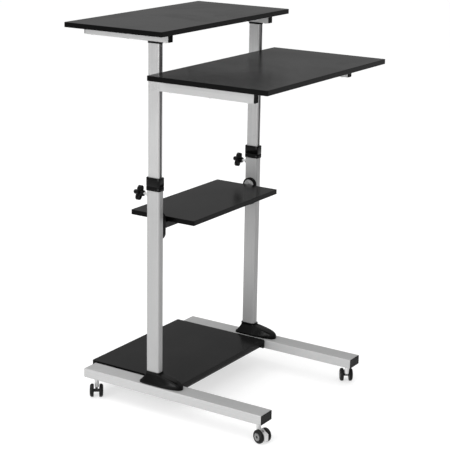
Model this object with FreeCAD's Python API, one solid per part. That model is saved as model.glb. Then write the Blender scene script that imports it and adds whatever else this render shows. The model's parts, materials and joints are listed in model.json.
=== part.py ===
import FreeCAD, Part
import math
import os

os.makedirs("parts", exist_ok=True)

# A mobile, height-adjustable presentation desk. Millimetres, +Z up, front is -Y, left is -X.
# Each value below is one size of the real object; every position is worked out from them.

# fits between pieces that move against each other
sliding_gap = 0.3
running_gap = 0.08

# boards
board_thickness = 15.0
board_corner_radius = 3.0
board_edge_radius = 0.8
top_shelf_width = 700.0
top_shelf_depth = 350.0
top_shelf_front = -1.0
tray_width = 700.0
tray_depth = 400.0
tray_back_gap = 4.0
middle_shelf_end_gap = 12.0
middle_shelf_depth = 230.0
middle_shelf_front = -40.0
bottom_shelf_end_gap = 0.5
bottom_shelf_depth = 350.0
bottom_shelf_front = -5.0

# base legs
leg_length = 650.0
leg_width = 60.0
leg_height = 30.0
leg_wall = 2.0
leg_corner_radius = 3.0
leg_cap_thickness = 1.2
leg_cap_recess = 0.7
cap_rim = 4.0
cap_inset = 0.7
cap_plug_depth = 8.0
cap_corner_radius = 2.0
plug_corner_radius = 1.0
plug_wall = 2.0

# columns
column_spacing = 547.0
column_setback = 75.0
column_play_x = 0.5
column_play_y = 1.0
lower_column_wall = 2.0
lower_column_length = 645.0
lower_column_radius = 6.0
foot_plate_width = 40.0
foot_plate_lead = 17.0
foot_plate_thickness = 6.0
upper_column_width = 20.0
upper_column_depth = 40.0
upper_column_wall = 2.5
upper_column_radius = 4.0
upper_column_length = 750.0
upper_column_exposed = 399.0
column_plug_length = 24.0

# groove that runs up the front face of each upper column
groove_mouth_width = 8.0
groove_mouth_depth = 2.0
groove_channel_width = 13.0
groove_channel_depth = 5.0
groove_back_wall = 2.0

# collars on top of the lower columns
collar_height = 40.0
collar_wall = 2.0
collar_lip = 3.0

# boots around the column feet
shroud_side_lead = 4.5
shroud_heel_lead = 7.0
shroud_toe = 103.0
shroud_height = 40.0
shroud_rim = 3.0
shroud_wall = 3.0
shroud_toe_radius = 21.0
shroud_heel_radius = 10.0
shroud_rim_radius = 8.0
# each row is one level of a boot: share of the height, then how much of the spread from the rim
# out to the foot is left at the toe, at the heel and at the sides, then how far the inside drops
shroud_profile = [
    (0.00, 1.00, 1.00, 1.00, 0.0),
    (0.15, 1.00, 0.95, 0.95, 0.0),
    (0.30, 0.97, 0.62, 0.72, 0.0),
    (0.45, 0.86, 0.34, 0.50, 2.0),
    (0.58, 0.69, 0.18, 0.32, 2.0),
    (0.70, 0.46, 0.08, 0.18, 2.0),
    (0.80, 0.17, 0.02, 0.06, 0.0),
    (1.00, 0.00, 0.00, 0.00, 0.0),
]
shroud_hollow_levels = 6

# arms under the top shelf and the tray
arm_wall = 2.0
arm_corner_radius = 1.5
arm_cap_thickness = 3.0
top_arm_length = 300.0
top_arm_width = 20.0
top_arm_height = 25.0
top_arm_front = 24.0
top_spacer_thickness = 5.0
top_spacer_overhang = 1.5
tray_arm_length = 320.0
tray_arm_width = 20.0
tray_arm_height = 40.0
tray_arm_drop = 97.0
tray_arm_end_wall = 3.0

# keys that hold the tray arms in the column grooves
key_length = 34.0
key_bolt_spacing = 20.0
key_bolt_radius = 2.5

# middle shelf brackets and beam
middle_shelf_rise = 509.0
middle_beam_lap = 2.5
middle_beam_height = 20.0
middle_beam_wall = 2.0
bracket_height = 90.0
bracket_rim = 5.5
bracket_thickness = 11.0
bracket_drop = 11.5
bracket_plate_height = 79.0
bracket_plate_thickness = 2.0
bracket_bolt_spacing = 59.0

# cross beams under the bottom shelf
cross_beam_depth = 30.0
cross_beam_height = 18.0
cross_beam_wall = 2.0
front_beam_y = 26.0
rear_beam_y = 290.0
flange_length = 60.0
flange_clearance = 1.0
flange_thickness = 5.0
flange_bolt_spacing = 46.0

# fasteners
screw_radius = 2.0
screw_head_radius = 4.5
screw_head_height = 2.2
screw_bite = 10.0
bolt_radius = 3.0
bolt_head_radius = 5.0
bolt_head_height = 3.0
bolt_tail = 6.0
socket_radius = 1.7
socket_depth = 1.6
anchor_radius = 3.0
anchor_head_radius = 5.0
anchor_head_height = 4.0
anchor_spacing_x = 24.0
anchor_lead = 9.0
arm_bolt_spacing = 22.0

# clamp knobs behind the lower columns
knob_drop = 15.0
knob_radius = 22.5
knob_lobe_radius = 7.0
knob_core_radius = 12.5
knob_thickness = 16.0
knob_hub_radius = 8.5
knob_hub_length = 8.0
knob_standoff = 18.0
knob_turn = 22.0
knob_edge_radius = 1.5
stud_radius = 4.0
stud_bury = 14.0
bush_radius = 7.5
bush_length = 4.0

# casters
caster_height = 62.0
caster_inset = 25.0
wheel_radius = 21.0
wheel_width = 12.0
wheel_inner_edge_radius = 1.5
wheel_outer_edge_radius = 5.0
wheel_inner_gap = 18.0
hub_recess_radius = 9.5
hub_recess_depth = 1.5
caster_trail = 18.0
axle_radius = 3.0
axle_barrel_radius = 5.0
axle_head_radius = 4.2
axle_head_thickness = 1.0
fork_arm_width = 8.0
fork_saddle_reach = 3.5
neck_top_radius = 7.6
neck_bottom_radius = 6.0
neck_rise = 5.0
neck_top_gap = 0.5
stem_radius = 4.0
stem_rise = 5.0
stem_nut_width = 13.0
stem_nut_height = 5.0
stem_tail = 14.0

# direction each caster trails in, degrees anticlockwise from +X
trail_angle_front_left = -110.0
trail_angle_front_right = 35.3
trail_angle_back_left = -144.7
trail_angle_back_right = -120.0

# brake pedals on the two front casters
pedal_half_width = 7.3
pedal_lug_gap = 0.3
pedal_bridge_start = 11.0
pedal_length = 26.0
pedal_thickness = 3.5
pedal_slope = 20.0
pedal_pad_height = 19.0
pedal_pad_thickness = 3.0
pedal_pivot_reach = 13.0
pedal_pivot_rise = 16.0
pedal_barrel_radius = 3.2
pedal_pin_radius = 1.5

# sizes that follow from the ones above
lower_column_width = upper_column_width + 2 * (column_play_x + lower_column_wall)
lower_column_depth = upper_column_depth + 2 * (column_play_y + lower_column_wall)
foot_plate_length = lower_column_depth + 2 * foot_plate_lead
anchor_spacing_y = lower_column_depth + 2 * anchor_lead
shroud_width = foot_plate_width + 2 * shroud_side_lead
shroud_heel = foot_plate_length / 2 + shroud_heel_lead
bracket_depth = lower_column_depth
bracket_plate_depth = bracket_depth - 2 * bracket_rim
middle_beam_depth = bracket_plate_depth + 2 * middle_beam_lap
flange_height = leg_height - 2 * flange_clearance
neck_bottom = wheel_radius + neck_rise
neck_top = caster_height - stem_nut_height - neck_top_gap
stem_bottom = neck_bottom + stem_rise
pedal_pivot_height = wheel_radius + pedal_pivot_rise

# levels worked out from the sizes above
leg_bottom = caster_height
leg_top = leg_bottom + leg_height
lower_column_top = leg_top + lower_column_length
collar_top = lower_column_top + collar_lip
collar_bottom = collar_top - collar_height
upper_column_top = lower_column_top + upper_column_exposed
upper_column_bottom = upper_column_top - upper_column_length
top_arm_bottom = upper_column_top + top_spacer_thickness
top_shelf_bottom = top_arm_bottom + top_arm_height
tray_bottom = upper_column_top - tray_arm_drop
tray_arm_bottom = tray_bottom - tray_arm_height
middle_shelf_bottom = leg_top + middle_shelf_rise
bracket_centre = middle_shelf_bottom - bracket_drop
bottom_shelf_bottom = leg_bottom + cross_beam_height
knob_height = collar_bottom - knob_drop

# plan positions worked out from the sizes above
column_x = column_spacing / 2
upper_front = column_setback - upper_column_depth / 2
upper_back = column_setback + upper_column_depth / 2
tray_front = upper_front - tray_back_gap - tray_depth
lower_back = column_setback + lower_column_depth / 2
column_inner_x = column_x - lower_column_width / 2
leg_inner_x = column_x - leg_width / 2
leg_front = -leg_length / 2
leg_back = leg_length / 2
caster_y = leg_length / 2 - caster_inset
tray_arm_back = upper_front - sliding_gap
tray_arm_front = tray_arm_back - tray_arm_length
top_arm_back = top_arm_front + top_arm_length
bracket_face_x = column_inner_x - bracket_thickness
middle_shelf_width = 2 * (bracket_face_x - middle_shelf_end_gap)
bottom_shelf_width = 2 * (leg_inner_x - flange_thickness - bottom_shelf_end_gap)
knob_face_y = lower_back + knob_standoff
sides = {"left": -1, "right": 1}


def save(name, shape):
    shape.exportStep("parts/" + name + ".step")


def group(shapes):
    return Part.makeCompound(shapes)


def box(x0, x1, y0, y1, z0, z1):
    low = FreeCAD.Vector(min(x0, x1), min(y0, y1), min(z0, z1))
    return Part.makeBox(abs(x1 - x0), abs(y1 - y0), abs(z1 - z0), low)


def rod(radius, start, end):
    first = FreeCAD.Vector(*start)
    along = FreeCAD.Vector(*end) - first
    return Part.makeCylinder(radius, along.Length, first, along)


def round_edges(shape, axis, radius):
    """Rounds the straight edges that run along one axis."""
    picked = []
    for edge in shape.Edges:
        if len(edge.Vertexes) != 2:
            continue
        run = edge.Vertexes[1].Point - edge.Vertexes[0].Point
        parts = {"x": abs(run.x), "y": abs(run.y), "z": abs(run.z)}
        if parts[axis] > 0.999 * run.Length:
            picked.append(edge)
    return shape.makeFillet(radius, picked)


def round_face_rim(shape, axis, level, radius):
    """Rounds every edge lying in the plane where the axis equals level."""
    picked = []
    for edge in shape.Edges:
        bounds = edge.BoundBox
        low = getattr(bounds, axis + "Min")
        high = getattr(bounds, axis + "Max")
        if abs(low - level) < 0.001 and abs(high - level) < 0.001:
            picked.append(edge)
    return shape.makeFillet(radius, picked)


def tube(x0, x1, y0, y1, z0, z1, axis, wall, radius):
    """Rounded rectangular tube, open at both ends along its axis."""
    outside = round_edges(box(x0, x1, y0, y1, z0, z1), axis, radius)
    grow = {"x": (-1.0, wall, wall), "y": (wall, -1.0, wall), "z": (wall, wall, -1.0)}[axis]
    inside = box(x0 + grow[0], x1 - grow[0], y0 + grow[1], y1 - grow[1], z0 + grow[2], z1 - grow[2])
    if radius > wall:
        inside = round_edges(inside, axis, radius - wall)
    return outside.cut(inside)


def centred(x, half):
    return x - half, x + half


def board(width, front, depth, bottom):
    """Flat laminated board with small rounded corners and edges."""
    shape = box(-width / 2, width / 2, front, front + depth, bottom, bottom + board_thickness)
    shape = round_edges(shape, "z", board_corner_radius)
    shape = round_face_rim(shape, "Z", bottom + board_thickness, board_edge_radius)
    return round_face_rim(shape, "Z", bottom, board_edge_radius)


def socket_cut(centre, axis):
    """Hexagon key recess in a bolt or screw head, opening along the axis."""
    ring = []
    for step in range(7):
        turn = math.radians(60 * step)
        ring.append((socket_radius * math.cos(turn), socket_radius * math.sin(turn)))
    points = [FreeCAD.Vector(a, b, 0) for a, b in ring]
    prism = Part.Face(Part.makePolygon(points)).extrude(FreeCAD.Vector(0, 0, socket_depth))
    prism.Placement = FreeCAD.Placement(
        FreeCAD.Vector(*centre),
        FreeCAD.Rotation(FreeCAD.Vector(0, 0, 1), FreeCAD.Vector(*axis)),
    )
    return prism


def headed(start, axis, radius, length, head_radius, head_height):
    """Fastener with its head behind the start point and its shank running along the axis."""
    base = FreeCAD.Vector(*start)
    along = FreeCAD.Vector(*axis)
    shank = Part.makeCylinder(radius, length, base, along)
    head = Part.makeCylinder(head_radius, head_height, base - along * head_height, along)
    rim = head.makeFillet(head_height * 0.4, [outer_rim(head, base - along * head_height)])
    crown = base - along * head_height
    return rim.fuse(shank).cut(socket_cut(tuple(crown), tuple(along))).removeSplitter()


def outer_rim(shape, centre):
    """The circular edge whose centre sits at the given point."""
    return min(
        (edge for edge in shape.Edges if hasattr(edge.Curve, "Radius")),
        key=lambda edge: (edge.Curve.Center - centre).Length,
    )


def screw(x, y, underside, grip):
    """Wood screw that comes up through a tube and bites into the board above it."""
    start = (x, y, underside)
    return headed(start, (0, 0, 1), screw_radius, grip + screw_bite, screw_head_radius, screw_head_height)


def screw_hole(x, y, underside, grip):
    return rod(screw_radius, (x, y, underside - 1), (x, y, underside + grip + screw_bite))


def drilled(shape, spots, underside, grip):
    for x, y in spots:
        shape = shape.cut(screw_hole(x, y, underside, grip))
    return shape


# where the wood screws stand
top_screw_y = (top_arm_front + 16, top_arm_front + 150, top_arm_back - 20)
tray_screw_y = (tray_arm_front + 24, tray_arm_front + 150, tray_arm_back - 34)
top_screw_spots = [(side * column_x, y) for side in (-1, 1) for y in top_screw_y]
tray_screw_spots = [(side * column_x, y) for side in (-1, 1) for y in tray_screw_y]
beam_screw_x = 150.0
middle_screw_spots = [(side * beam_screw_x, column_setback) for side in (-1, 1)]
bottom_screw_spots = [(side * beam_screw_x, y) for side in (-1, 1) for y in (front_beam_y, rear_beam_y)]


def leg(side):
    x0, x1 = centred(side * column_x, leg_width / 2)
    shape = tube(x0, x1, leg_front, leg_back, leg_bottom, leg_top, "y", leg_wall, leg_corner_radius)
    for x, y in anchor_spots(side):
        shape = shape.cut(rod(anchor_radius, (x, y, leg_top - leg_wall - 1), (x, y, leg_top + 1)))
    for y in (-caster_y, caster_y):
        x = side * column_x
        shape = shape.cut(rod(stem_radius, (x, y, leg_bottom - 1), (x, y, leg_bottom + leg_wall + 1)))
    for y, z in flange_bolt_spots():
        inner = side * leg_inner_x
        shape = shape.cut(rod(bolt_radius, (inner - side, y, z), (inner + side * (leg_wall + 1), y, z)))
    return shape


def end_cap(x, y, z_low, z_high, width, wall, facing, thickness, recess):
    """Plastic plug for the open end of a tube; facing is the y direction it looks in."""
    x0, x1 = centred(x, width / 2)
    plate = box(
        x0 + cap_inset, x1 - cap_inset, y, y + facing * thickness, z_low + cap_inset, z_high - cap_inset
    )
    plate = round_edges(plate, "y", cap_corner_radius)
    plug = box(x0 + wall, x1 - wall, y, y - facing * cap_plug_depth, z_low + wall, z_high - wall)
    plug = round_edges(plug, "y", plug_corner_radius)
    shape = plate.fuse(plug)
    hollow = box(
        x0 + cap_rim,
        x1 - cap_rim,
        y + facing * (thickness - recess),
        y + facing * (thickness + 1),
        z_low + cap_rim,
        z_high - cap_rim,
    )
    inner = box(
        x0 + wall + plug_wall,
        x1 - wall - plug_wall,
        y - facing,
        y - facing * (cap_plug_depth + 1),
        z_low + wall + plug_wall,
        z_high - wall - plug_wall,
    )
    return shape.cut(hollow).cut(inner).removeSplitter()


def leg_end_caps():
    caps = []
    for side in (-1, 1):
        for facing, y in ((-1, leg_front), (1, leg_back)):
            caps.append(
                end_cap(
                    side * column_x, y, leg_bottom, leg_top, leg_width, leg_wall, facing,
                    leg_cap_thickness, leg_cap_recess,
                )
            )
    return group(caps)


def anchor_spots(side):
    spots = []
    for step_x in (-1, 1):
        for step_y in (-1, 1):
            x = side * column_x + step_x * anchor_spacing_x / 2
            spots.append((x, column_setback + step_y * anchor_spacing_y / 2))
    return spots


def lower_column(side):
    x0, x1 = centred(side * column_x, lower_column_width / 2)
    y0, y1 = centred(column_setback, lower_column_depth / 2)
    shape = tube(x0, x1, y0, y1, leg_top, lower_column_top, "z", lower_column_wall, lower_column_radius)
    px0, px1 = centred(side * column_x, foot_plate_width / 2)
    py0, py1 = centred(column_setback, foot_plate_length / 2)
    plate = box(px0, px1, py0, py1, leg_top, leg_top + foot_plate_thickness)
    plate = round_edges(plate, "z", 4.0)
    shape = shape.fuse(plate)
    for x, y in anchor_spots(side):
        shape = shape.cut(rod(anchor_radius, (x, y, leg_top - 1), (x, y, leg_top + foot_plate_thickness + 1)))
    x = side * column_x
    inside = (x, lower_back - lower_column_wall - 1, knob_height)
    shape = shape.cut(rod(stud_radius + sliding_gap, inside, (x, lower_back + 1, knob_height)))
    for z in bracket_bolt_levels():
        start = (side * (column_inner_x - 1), column_setback, z)
        end = (side * (column_inner_x + lower_column_wall - sliding_gap), column_setback, z)
        shape = shape.cut(rod(bolt_radius, start, end))
    return shape.removeSplitter()


def column_anchor_bolts():
    bolts = []
    for side in (-1, 1):
        for x, y in anchor_spots(side):
            top = leg_top + foot_plate_thickness
            length = foot_plate_thickness + leg_wall + bolt_tail
            bolts.append(
                headed((x, y, top), (0, 0, -1), anchor_radius, length, anchor_head_radius, anchor_head_height)
            )
    return group(bolts)


def collar(side):
    grow = collar_wall
    x0, x1 = centred(side * column_x, lower_column_width / 2 + grow)
    y0, y1 = centred(column_setback, lower_column_depth / 2 + grow)
    shape = round_edges(box(x0, x1, y0, y1, collar_bottom, collar_top), "z", lower_column_radius + grow)
    shape = round_face_rim(shape, "Z", collar_top, 1.2)
    sx0, sx1 = centred(side * column_x, lower_column_width / 2)
    sy0, sy1 = centred(column_setback, lower_column_depth / 2)
    seat = round_edges(
        box(sx0, sx1, sy0, sy1, collar_bottom - 1, lower_column_top), "z", lower_column_radius
    )
    ux0, ux1 = centred(side * column_x, upper_column_width / 2 + sliding_gap)
    uy0, uy1 = centred(column_setback, upper_column_depth / 2 + sliding_gap)
    mouth = round_edges(
        box(ux0, ux1, uy0, uy1, lower_column_top - 1, collar_top + 1), "z", upper_column_radius + sliding_gap
    )
    return shape.cut(seat).cut(mouth).removeSplitter()


def shroud_ring(x, half_width, front, back, toe_radius, heel_radius, level):
    """Closed rounded outline of one level of a boot."""
    corners = [
        (half_width - toe_radius, front + toe_radius, toe_radius, -90),
        (half_width - heel_radius, back - heel_radius, heel_radius, 0),
        (heel_radius - half_width, back - heel_radius, heel_radius, 90),
        (toe_radius - half_width, front + toe_radius, toe_radius, 180),
    ]
    arcs = []
    for centre_x, centre_y, radius, start in corners:
        points = []
        for turn in (start, start + 45, start + 90):
            reach_x = radius * math.cos(math.radians(turn))
            reach_y = radius * math.sin(math.radians(turn))
            points.append(FreeCAD.Vector(x + centre_x + reach_x, centre_y + reach_y, level))
        arcs.append(points)
    edges = []
    for index, points in enumerate(arcs):
        edges.append(Part.Arc(*points).toShape())
        edges.append(Part.makeLine(points[2], arcs[(index + 1) % 4][0]))
    return Part.Wire(edges)


def shroud_rings(x, inset, rows):
    """Rings of a boot from bottom to top, drawn in from the outside by the inset."""
    rim_half = lower_column_width / 2 + sliding_gap + shroud_rim
    rim_front = column_setback - lower_column_depth / 2 - sliding_gap - shroud_rim
    rim_back = column_setback + lower_column_depth / 2 + sliding_gap + shroud_rim
    spread_side = shroud_width / 2 - rim_half
    spread_toe = rim_front - (column_setback - shroud_toe)
    spread_heel = column_setback + shroud_heel - rim_back
    rings = []
    for height, toe, heel, side, drop in rows:
        half = rim_half + side * spread_side - inset
        toe_radius = shroud_rim_radius + side * (shroud_toe_radius - shroud_rim_radius) - inset
        heel_radius = shroud_rim_radius + side * (shroud_heel_radius - shroud_rim_radius) - inset
        level = leg_top + height * shroud_height
        if inset > 0:
            level -= drop
        rings.append(
            shroud_ring(
                x, half, rim_front - toe * spread_toe + inset, rim_back + heel * spread_heel - inset,
                toe_radius, heel_radius, level,
            )
        )
    return rings


def shroud(side):
    x = side * column_x
    shape = Part.makeLoft(shroud_rings(x, 0.0, shroud_profile), True, True)
    hollow = Part.makeLoft(shroud_rings(x, shroud_wall, shroud_profile[:shroud_hollow_levels]), True, True)
    cx0, cx1 = centred(x, lower_column_width / 2 + sliding_gap)
    cy0, cy1 = centred(column_setback, lower_column_depth / 2 + sliding_gap)
    hole = box(cx0, cx1, cy0, cy1, leg_top - 1, leg_top + shroud_height + 1)
    return shape.cut(hollow).cut(round_edges(hole, "z", lower_column_radius)).removeSplitter()


def groove(side):
    """The undercut groove in the front face of an upper column."""
    x = side * column_x
    low = upper_column_bottom - 1
    high = upper_column_top + 1
    mouth = box(
        x - groove_mouth_width / 2,
        x + groove_mouth_width / 2,
        upper_front - 1,
        upper_front + groove_mouth_depth + 0.5,
        low,
        high,
    )
    channel = box(
        x - groove_channel_width / 2,
        x + groove_channel_width / 2,
        upper_front + groove_mouth_depth,
        upper_front + groove_mouth_depth + groove_channel_depth,
        low,
        high,
    )
    return mouth.fuse(channel)


def upper_column(side):
    x0, x1 = centred(side * column_x, upper_column_width / 2)
    shape = round_edges(
        box(x0, x1, upper_front, upper_back, upper_column_bottom, upper_column_top), "z", upper_column_radius
    )
    cavity_front = upper_front + groove_mouth_depth + groove_channel_depth + groove_back_wall
    cavity = box(
        x0 + upper_column_wall,
        x1 - upper_column_wall,
        cavity_front,
        upper_back - upper_column_wall,
        upper_column_bottom - 1,
        upper_column_top - column_plug_length,
    )
    shape = shape.cut(round_edges(cavity, "z", 1.5)).cut(groove(side))
    for y in arm_bolt_levels():
        x = side * column_x
        shape = shape.cut(
            rod(bolt_radius, (x, y, upper_column_top - column_plug_length + 4), (x, y, upper_column_top + 1))
        )
    return shape.removeSplitter()


def arm_bolt_levels():
    """Places along y of the bolts that hold a top arm down on its column."""
    rear = upper_back - 8
    return (rear - arm_bolt_spacing * 0.75, rear)


def column_top_spacers():
    pads = []
    for side in (-1, 1):
        x0, x1 = centred(side * column_x, upper_column_width / 2 + top_spacer_overhang)
        y0, y1 = centred(column_setback, upper_column_depth / 2 + top_spacer_overhang)
        pad = round_edges(box(x0, x1, y0, y1, upper_column_top, top_arm_bottom), "z", 4.5)
        for y in arm_bolt_levels():
            x = side * column_x
            pad = pad.cut(rod(bolt_radius, (x, y, upper_column_top - 1), (x, y, top_arm_bottom + 1)))
        pads.append(pad)
    return group(pads)


def top_arm(side):
    x0, x1 = centred(side * column_x, top_arm_width / 2)
    shape = tube(
        x0, x1, top_arm_front, top_arm_back, top_arm_bottom, top_shelf_bottom, "y", arm_wall, arm_corner_radius
    )
    for y in arm_bolt_levels():
        x = side * column_x
        shape = shape.cut(rod(bolt_radius, (x, y, top_arm_bottom - 1), (x, y, top_arm_bottom + arm_wall + 1)))
    return drilled(shape, [(side * column_x, y) for y in top_screw_y], top_arm_bottom, top_arm_height)


def top_arm_bolts():
    bolts = []
    for side in (-1, 1):
        for y in arm_bolt_levels():
            seat = top_arm_bottom + arm_wall
            length = seat - upper_column_top + column_plug_length - 4
            start = (side * column_x, y, seat)
            bolts.append(headed(start, (0, 0, -1), bolt_radius, length, bolt_head_radius, bolt_head_height))
    return group(bolts)


def top_arm_caps():
    caps = []
    for side in (-1, 1):
        for facing, y in ((-1, top_arm_front), (1, top_arm_back)):
            caps.append(
                end_cap(
                    side * column_x, y, top_arm_bottom, top_shelf_bottom - 0.5, top_arm_width, arm_wall,
                    facing, arm_cap_thickness, 0.6,
                )
            )
    return group(caps)


def tray_arm(side):
    x0, x1 = centred(side * column_x, tray_arm_width / 2)
    shape = tube(
        x0, x1, tray_arm_front, tray_arm_back, tray_arm_bottom, tray_bottom, "y", arm_wall, arm_corner_radius
    )
    wall = box(
        x0 + arm_wall,
        x1 - arm_wall,
        tray_arm_back - tray_arm_end_wall,
        tray_arm_back,
        tray_arm_bottom + arm_wall,
        tray_bottom - arm_wall,
    )
    shape = shape.fuse(wall)
    for z in key_bolt_levels():
        x = side * column_x
        start = (x, tray_arm_back - tray_arm_end_wall - 1, z)
        shape = shape.cut(rod(key_bolt_radius, start, (x, tray_arm_back + 1, z)))
    shape = drilled(shape, [(side * column_x, y) for y in tray_screw_y], tray_arm_bottom, tray_arm_height)
    return shape.removeSplitter()


def key_bolt_levels():
    centre = tray_arm_bottom + tray_arm_height / 2
    return centre - key_bolt_spacing / 2, centre + key_bolt_spacing / 2


def tray_slide_keys():
    """Tee-shaped keys that run in the column grooves."""
    keys = []
    centre = tray_arm_bottom + tray_arm_height / 2
    low, high = centred(centre, key_length / 2)
    channel_front = upper_front + groove_mouth_depth
    channel_back = channel_front + groove_channel_depth
    for side in (-1, 1):
        x = side * column_x
        neck_x = centred(x, groove_mouth_width / 2 - sliding_gap)
        wing_x = centred(x, groove_channel_width / 2 - sliding_gap)
        neck = box(neck_x[0], neck_x[1], tray_arm_back, channel_front + sliding_gap + 0.5, low, high)
        wing = box(
            wing_x[0], wing_x[1], channel_front + sliding_gap, channel_back - sliding_gap, low, high
        )
        key = neck.fuse(wing).removeSplitter()
        for z in key_bolt_levels():
            key = key.cut(rod(key_bolt_radius, (x, tray_arm_back - 1, z), (x, channel_back + 1, z)))
        keys.append(key)
    return group(keys)


def tray_key_bolts():
    bolts = []
    length = tray_arm_end_wall + sliding_gap + groove_mouth_depth + groove_channel_depth - sliding_gap
    for side in (-1, 1):
        for z in key_bolt_levels():
            start = (side * column_x, tray_arm_back - tray_arm_end_wall, z)
            bolts.append(headed(start, (0, 1, 0), key_bolt_radius, length, 4.5, 2.8))
    return group(bolts)


def tray_arm_caps():
    caps = []
    for side in (-1, 1):
        caps.append(
            end_cap(
                side * column_x, tray_arm_front, tray_arm_bottom, tray_bottom - 0.5, tray_arm_width,
                arm_wall, -1, arm_cap_thickness, 0.6,
            )
        )
    return group(caps)


def top_shelf():
    shape = board(top_shelf_width, top_shelf_front, top_shelf_depth, top_shelf_bottom)
    return drilled(shape, top_screw_spots, top_arm_bottom, top_arm_height)


def front_tray():
    shape = board(tray_width, tray_front, tray_depth, tray_bottom)
    return drilled(shape, tray_screw_spots, tray_arm_bottom, tray_arm_height)


def middle_shelf():
    shape = board(middle_shelf_width, middle_shelf_front, middle_shelf_depth, middle_shelf_bottom)
    return drilled(shape, middle_screw_spots, middle_shelf_bottom - middle_beam_height, middle_beam_height)


def bottom_shelf():
    shape = board(bottom_shelf_width, bottom_shelf_front, bottom_shelf_depth, bottom_shelf_bottom)
    return drilled(shape, bottom_screw_spots, leg_bottom, cross_beam_height)


def top_shelf_screws():
    return group([screw(x, y, top_arm_bottom, top_arm_height) for x, y in top_screw_spots])


def tray_screws():
    return group([screw(x, y, tray_arm_bottom, tray_arm_height) for x, y in tray_screw_spots])


def shelf_screws():
    middle_low = middle_shelf_bottom - middle_beam_height
    upper = [screw(x, y, middle_low, middle_beam_height) for x, y in middle_screw_spots]
    lower = [screw(x, y, leg_bottom, cross_beam_height) for x, y in bottom_screw_spots]
    return group(upper + lower)


def middle_shelf_beam():
    end = bracket_face_x
    y0, y1 = centred(column_setback, middle_beam_depth / 2)
    low = middle_shelf_bottom - middle_beam_height
    shape = tube(-end, end, y0, y1, low, middle_shelf_bottom, "x", middle_beam_wall, 2.5)
    return drilled(shape, middle_screw_spots, low, middle_beam_height)


def stadium(x0, x1, depth, height, level):
    """Upright plate with fully rounded top and bottom ends."""
    y0, y1 = centred(column_setback, depth / 2)
    z0, z1 = centred(level, height / 2)
    shape = box(x0, x1, y0, y1, z0, z1)
    return round_edges(shape, "x", depth / 2 - 0.01)


def bracket_bolt_levels():
    return centred(bracket_centre, bracket_bolt_spacing / 2)


def bracket_covers():
    covers = []
    for side in (-1, 1):
        shape = stadium(
            side * bracket_face_x, side * column_inner_x, bracket_depth, bracket_height, bracket_centre
        )
        shape = round_face_rim(shape, "X", side * bracket_face_x, 1.2)
        pocket_end = bracket_face_x + bracket_plate_thickness
        pocket = stadium(
            side * (bracket_face_x - 1), side * pocket_end, bracket_plate_depth, bracket_plate_height,
            bracket_centre,
        )
        shape = shape.cut(pocket)
        for z in bracket_bolt_levels():
            start = (side * bracket_face_x, column_setback, z)
            shape = shape.cut(rod(bolt_radius, start, (side * (column_inner_x + 1), column_setback, z)))
        covers.append(shape)
    return group(covers)


def bracket_plates():
    plates = []
    for side in (-1, 1):
        far = bracket_face_x + bracket_plate_thickness
        shape = stadium(
            side * bracket_face_x, side * far, bracket_plate_depth, bracket_plate_height, bracket_centre
        )
        for z in bracket_bolt_levels():
            start = (side * (bracket_face_x - 1), column_setback, z)
            shape = shape.cut(rod(bolt_radius, start, (side * (far + 1), column_setback, z)))
        plates.append(shape)
    return group(plates)


def flange_bolt_spots():
    spots = []
    for beam_y in (front_beam_y, rear_beam_y):
        for step in (-1, 1):
            spots.append((beam_y + step * flange_bolt_spacing / 2, leg_bottom + cross_beam_height / 2))
    return spots


def cross_beam(beam_y):
    """Black steel beam with a flange welded to each end."""
    end = leg_inner_x - flange_thickness
    y0, y1 = centred(beam_y, cross_beam_depth / 2)
    shape = tube(
        -end - 0.5, end + 0.5, y0, y1, leg_bottom, leg_bottom + cross_beam_height, "x", cross_beam_wall, 2.5
    )
    fy0, fy1 = centred(beam_y, flange_length / 2)
    for side in (-1, 1):
        flange = box(
            side * end, side * leg_inner_x, fy0, fy1,
            leg_bottom + flange_clearance, leg_bottom + flange_clearance + flange_height,
        )
        shape = shape.fuse(round_edges(flange, "x", 3.0))
    for y, z in flange_bolt_spots():
        if abs(y - beam_y) < flange_length:
            for side in (-1, 1):
                start = (side * (end - 2), y, z)
                shape = shape.cut(rod(bolt_radius, start, (side * (leg_inner_x + 1), y, z)))
    spots = [(side * beam_screw_x, beam_y) for side in (-1, 1)]
    return drilled(shape.removeSplitter(), spots, leg_bottom, cross_beam_height)


def frame_bolts():
    bolts = []
    bracket_length = bracket_thickness + lower_column_wall - sliding_gap
    flange_grip = flange_thickness + leg_wall + bolt_tail
    for side in (-1, 1):
        for z in bracket_bolt_levels():
            start = (side * bracket_face_x, column_setback, z)
            bolts.append(
                headed(start, (side, 0, 0), bolt_radius, bracket_length, bolt_head_radius, bolt_head_height)
            )
        for y, z in flange_bolt_spots():
            start = (side * (leg_inner_x - flange_thickness), y, z)
            bolts.append(headed(start, (side, 0, 0), bolt_radius, flange_grip, 4.0, bolt_head_height))
    return group(bolts)


def knob_bushes():
    bushes = []
    for side in (-1, 1):
        x = side * column_x
        ring = rod(bush_radius, (x, lower_back, knob_height), (x, lower_back + bush_length, knob_height))
        bore = rod(stud_radius + sliding_gap, (x, lower_back - 1, knob_height), (x, knob_face_y, knob_height))
        bushes.append(ring.cut(bore))
    return group(bushes)


def knob_stud(side):
    x = side * column_x
    tip = upper_back + sliding_gap
    return rod(stud_radius, (x, tip, knob_height), (x, knob_face_y + stud_bury, knob_height))


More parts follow.
